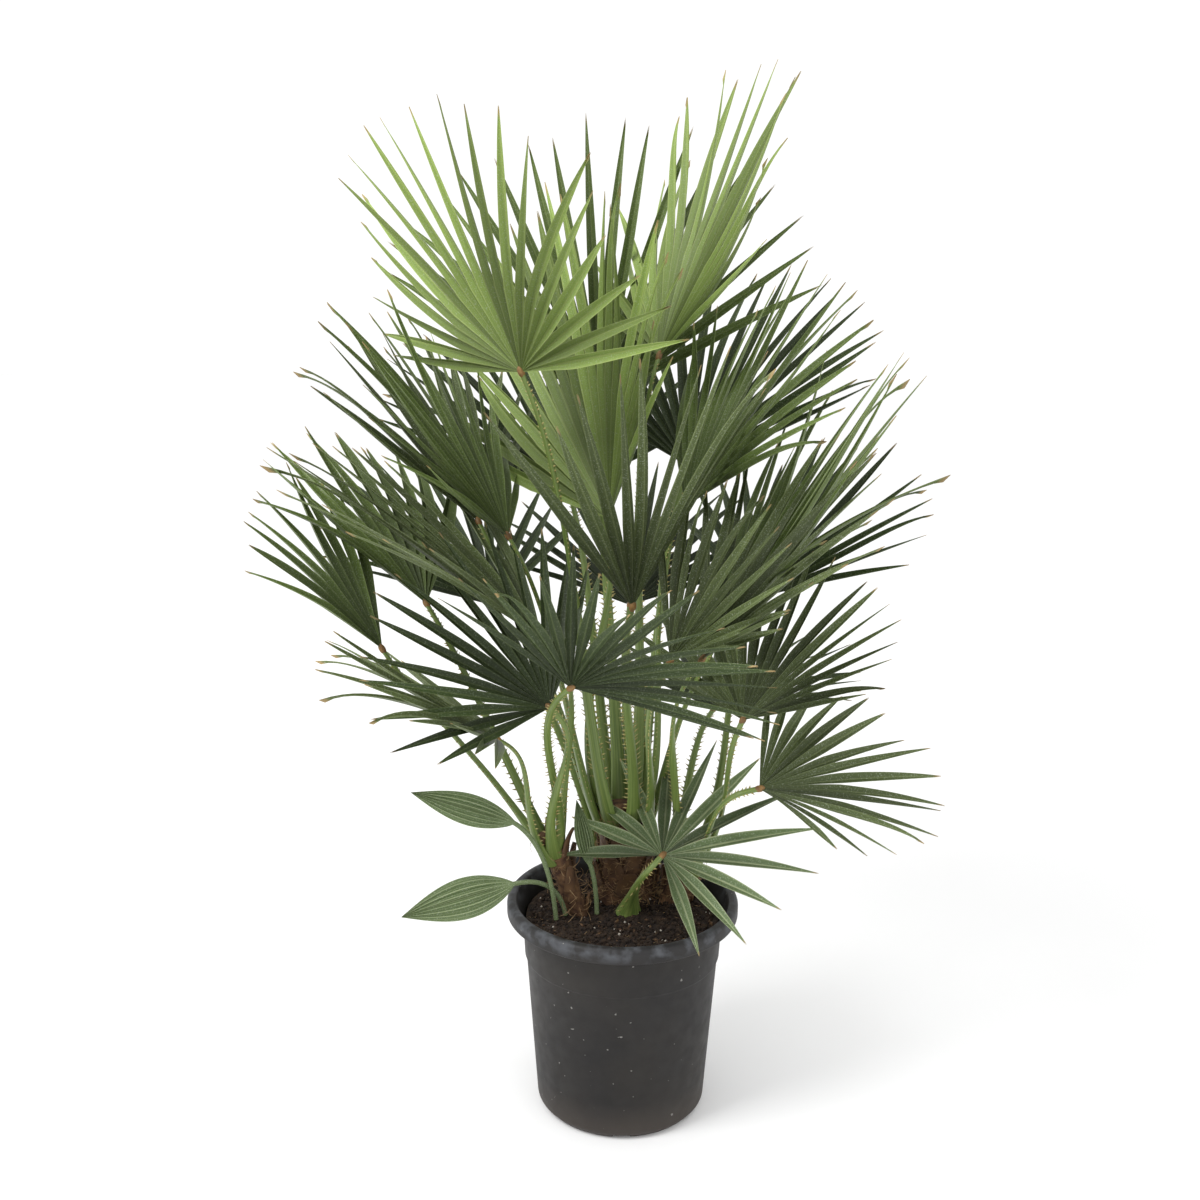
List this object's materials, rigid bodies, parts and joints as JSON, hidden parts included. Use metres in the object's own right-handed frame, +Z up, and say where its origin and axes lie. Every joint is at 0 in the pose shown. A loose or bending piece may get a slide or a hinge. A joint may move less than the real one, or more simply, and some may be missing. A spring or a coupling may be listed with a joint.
{
  "type": "potted european fan palm",
  "caption": "Clump-forming fan palm in a round nursery pot: short fibrous stems, tapering petioles and palmate blades of stiff pleated leaflets.",
  "frame": {"origin": "centre of the pot's flat underside", "axes": "+Z up along the pot's axis; -Y towards the side that the picture shows; +X to the right of that view"},
  "size_m": [0.8009, 0.847, 1.2389],
  "materials": {
    "pot": "matte",
    "soil": "matte",
    "stem_fibre": "rough",
    "petiole": "satin",
    "leaf": "satin"
  },
  "bodies": {
    "root": {"pot": "pot", "soil": "soil", "stem_main": "stem_fibre", "stem_left": "stem_fibre", "stem_right": "stem_fibre", "petiole_a": "petiole", "blade_a": "leaf", "petiole_b": "petiole", "blade_b": "leaf", "petiole_c": "petiole", "blade_c": "leaf", "petiole_d": "petiole", "blade_d": "leaf", "petiole_e": "petiole", "blade_e": "leaf", "petiole_f": "petiole", "blade_f": "leaf", "petiole_g": "petiole", "blade_g": "leaf", "petiole_h": "petiole", "blade_h": "leaf", "petiole_k": "petiole", "blade_k": "leaf", "petiole_l": "petiole", "blade_l": "leaf", "petiole_m": "petiole", "blade_m": "leaf", "petiole_n": "petiole", "blade_n": "leaf", "petiole_o": "petiole", "blade_o": "leaf", "petiole_p": "petiole", "blade_p": "leaf", "petiole_q": "petiole", "blade_q": "leaf", "petiole_r": "petiole", "blade_r": "leaf", "petiole_s": "petiole", "blade_s": "leaf", "petiole_t": "petiole", "blade_t": "leaf", "petiole_u": "petiole", "blade_u": "leaf", "petiole_ta": "petiole", "blade_ta": "leaf", "petiole_v": "petiole", "blade_v": "leaf", "petiole_w": "petiole", "blade_w": "leaf", "petiole_x": "petiole", "blade_x": "leaf", "petiole_y": "petiole", "blade_y": "leaf", "petiole_z": "petiole", "blade_z": "leaf", "petiole_aa": "petiole", "blade_aa": "leaf", "young_leaf_low": "leaf", "young_leaf_high": "leaf", "young_leaf_upright": "leaf"}
  },
  "joints": []
}
